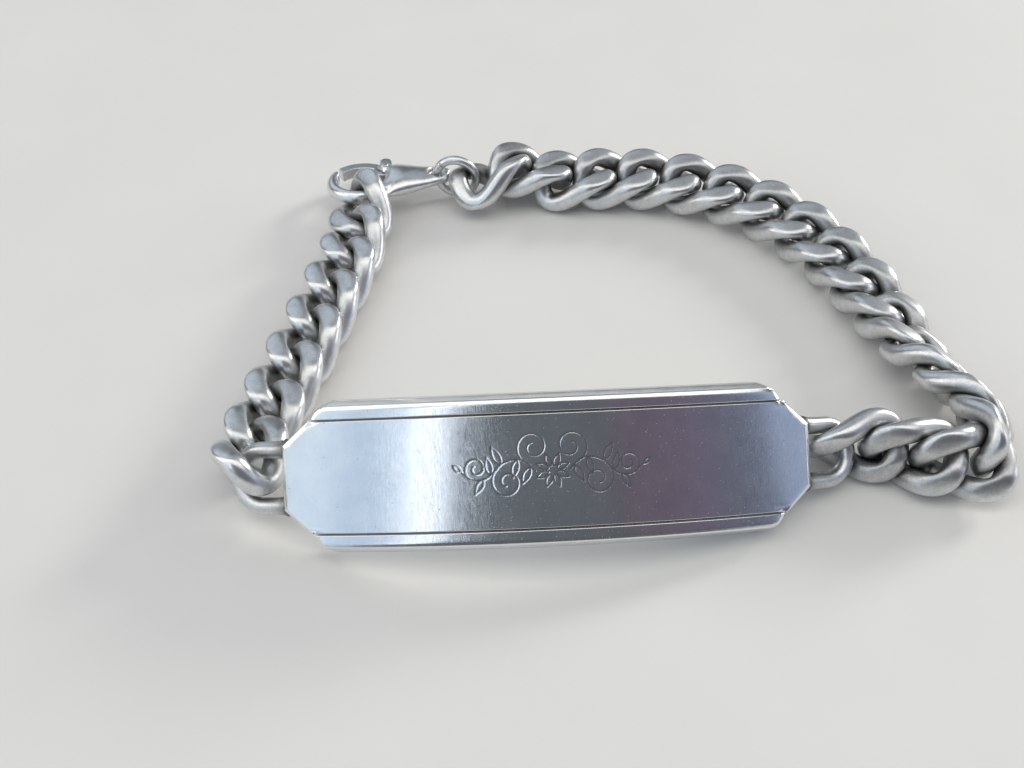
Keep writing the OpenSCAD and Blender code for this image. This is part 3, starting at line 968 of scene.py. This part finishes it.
def curb_link(link, others, run_painted_shade):
    """A link whose wire keeps its full 2.2 mm wherever it has room, and is worn thin
    where the next links press on it or where it lies on the board."""
    path, outward = link_path(link)
    rings = tube(path, link_wire / 2, True, outward)
    away = (rings - path[:, None]) / (link_wire / 2)
    gap = gap_beside(rings.reshape(-1, 3), others)
    room = np.clip(gap / 2 - least_gap, 0, full_wire / 2 - link_wire / 2).reshape(link_steps, wire_sides)
    over_board = rings[..., 2] / np.maximum(-away[..., 2], facing_down)
    over_board = np.where(away[..., 2] < -facing_down, over_board, wide_gap)
    room = np.minimum(room, np.maximum(over_board, 0))
    growth = room
    for _ in range(evening_passes):
        along_wire = np.roll(growth, 1, 0) + np.roll(growth, -1, 0)
        round_wire = np.roll(growth, 1, 1) + np.roll(growth, -1, 1)
        growth = np.minimum((growth + along_wire + round_wire) / 5, room)
    full = rings + growth[..., None] * away
    turn = link_turn(link)
    local = (full.reshape(-1, 3) - np.array(link[:3])) @ turn
    local[:, 2] = filed(local[:, 2])
    full = local @ turn.T + np.array(link[:3])
    full[:, 2] = np.maximum(full[:, 2], 0)
    # Painted shade: the grey where wires meet and inside each link is partly tarnish and partly painted
    # shade, and each run's share all over is painted shade alone.
    facing_in = 0.5 - 0.5 * np.cos(np.arange(wire_sides) / wire_sides * 2 * math.pi)
    meeting = meeting_tarnish_and_shade * np.exp(-np.clip(gap, 0, None) / meeting_reach)
    tarnish_and_shade = np.clip(meeting + inside_tarnish_and_shade * np.tile(facing_in, link_steps) + run_painted_shade, 0, 1)
    return full, {"tarnish_and_shade": tarnish_and_shade}


left_links = lay(left_start, left_stretches, left_end)
right_links = lay(right_start, right_stretches, right_end)
# Columns: run, links, loop at its start, wires at its end, painted shade added all over
# its silver (below 0 it is painted light)
for run_name, links, first, last, run_painted_shade in (
        ("left", left_links, loop_paths["left_loop"], clasp_wires, -0.05),
        ("right", right_links, loop_paths["right_loop"], ring_wires, 0.06)):
    paths = [link_path(link)[0] for link in links]
    for number, link in enumerate(links):
        near = [(paths[k], link_wire / 2) for k in range(number - near_links, number + near_links + 1)
                if 0 <= k < len(links) and k != number]
        if number < near_links:
            near.append(first)
        if number >= len(links) - near_links:
            near += last
        link_verts, link_values = curb_link(link, near, run_painted_shade)
        label = "%s_link_%02d" % (run_name, number + 1)
        build_piece("curb_" + label, link_verts, ring_faces(link_steps, True), link_values,
                    wire_silver, [label], "bracelet")

# The board that the bracelet lies on. A plain sheet painted matt off-white, which is no
# part of the bracelet.
board_half = 2.0
mottle_per_metre = 60.0


def pale_board():
    """Matt painted board, off-white, with the faint mottle of a rolled coat."""
    made, tree = new_material("pale_board")
    coords = add_node(tree, "TexCoord")
    mottle = add_node(tree, "TexNoise", {"Scale": mottle_per_metre, "Detail": 4},
                      {"Vector": coords.outputs["Object"]})
    tone = ramp_stops(add_node(tree, "ValToRGB", {}, {"Fac": mottle.outputs["Fac"]}),
                      ((0.3, linear("#E7E5E1")), (0.7, linear("#EAE8E4"))))
    shader = add_node(tree, "BsdfPrincipled", {"Roughness": 0.7}, {"Base Color": tone.outputs["Color"]})
    add_node(tree, "OutputMaterial", {}, {"Surface": shader.outputs[0]})
    return made


board_mesh = bpy.data.meshes.new("board")
board_corners = [(x * board_half, y * board_half, 0) for x, y in ((-1, -1), (1, -1), (1, 1), (-1, 1))]
board_mesh.from_pydata(board_corners, [], [(0, 1, 2, 3)])
board = placed("board", board_mesh)
board.data.materials.append(pale_board())

# The camera. It stands 90 mm over the board and looks down at 45 degrees, as in the
# photograph, and its focal length is given in pixels of a picture 1024 wide.
eye = Vector((-9.75, -95.3, 90.06)) * MM
looks_down = 45.1
focal_pixels = 1300
picture_width = 1024
film_width = 36
camera_data = bpy.data.cameras.new("camera")
camera_data.sensor_width = film_width
camera_data.lens = film_width * focal_pixels / picture_width
camera_data.clip_start = 0.005
camera_data.clip_end = 10
camera = placed("camera", camera_data)
camera.location = eye
camera.rotation_euler = (math.radians(90 - looks_down), 0, 0)
bpy.context.scene.camera = camera

# The light. Soft panels stand where the plate's face mirrors them, and paint its window,
# sky and dim room. Wider ones overhead and behind light the chain, with a small one at
# the right for its sharp highlights and two low ones for the plate's canted corners.
mirrored_distance = 0.8


def mirrored_from(along):
    """A point of the face, and the way from it to whatever the camera sees mirrored there."""
    point = Vector(on_plate(along, 0.0, 0.0)) * MM
    raised = Vector(on_plate(along, 0.0, -1.0)) * MM
    normal = (raised - point).normalized()
    seen = (point - eye).normalized()
    return point, seen - 2 * seen.dot(normal) * normal


def panel(name, target, place, width, height, watts, colour):
    """A soft rectangular light aimed at a point."""
    data = bpy.data.lights.new(name, "AREA")
    data.shape = "RECTANGLE"
    data.size = width
    data.size_y = height
    data.energy = watts
    data.color = linear(colour)[:3]
    light = placed(name, data)
    light.location = place
    light.rotation_euler = (target - place).to_track_quat("-Z", "Y").to_euler()


# Columns: name, where on the face it shows, width, height, radiance, colour
for name, along, width, height, bright, colour in (
        ("window", -10.4, 0.11, 0.7, 1.7, "#F6FAFF"),
        ("window_edge", -8.5, 0.06, 0.7, 0.22, "#8CC4F8"),
        ("sky_left", -18.6, 0.46, 0.8, 0.8, "#CCE2F8"),
        ("pale_left", -24.0, 0.3, 0.8, 0.25, "#F4F4E8"),
        ("room", -1.6, 0.5, 0.7, 0.06, "#A8CCD8"),
        ("dusk", 9.8, 0.3, 0.7, 0.055, "#F080E4"),
        ("blue_room", 18.0, 0.34, 0.7, 0.085, "#9CA8E8"),
        ("far_window", 24.0, 0.22, 0.7, 0.5, "#BCD0F0")):
    point, way = mirrored_from(along)
    watts = bright * math.pi * width * height
    panel(name, point, point + way * mirrored_distance, width, height, watts, colour)
# Columns: name, place in metres, width, height, watts, colour
for name, place, width, height, watts, colour in (
        ("overhead", (0, -0.1, 1.0), 2.4, 0.7, 7.6, "#F6F5F2"),
        ("back_left", (-0.5, 0.72, 0.66), 0.9, 1.0, 1.9, "#DCEAF8"),
        ("back_right", (0.46, 0.76, 0.7), 1.0, 1.0, 1.05, "#E0EAF6"),
        ("side_right", (0.75, 0.55, 0.36), 0.24, 0.24, 4.6, "#FFFDF8"),
        ("low_right", (0.95, 0.05, 0.19), 0.32, 0.36, 0.85, "#FBFCFF"),
        ("low_left", (-0.88, -0.1, 0.36), 0.5, 0.5, 1.3, "#FFFAF0")):
    panel(name, Vector((0, 0, 0)), Vector(place), width, height, watts, colour)

world = bpy.data.worlds.new("studio")
bpy.context.scene.world = world
world.use_nodes = True
world.node_tree.nodes["Background"].inputs["Color"].default_value = linear("#5A5B5D")
world.node_tree.nodes["Background"].inputs["Strength"].default_value = 1.0
bpy.context.scene.view_settings.view_transform = "Standard"
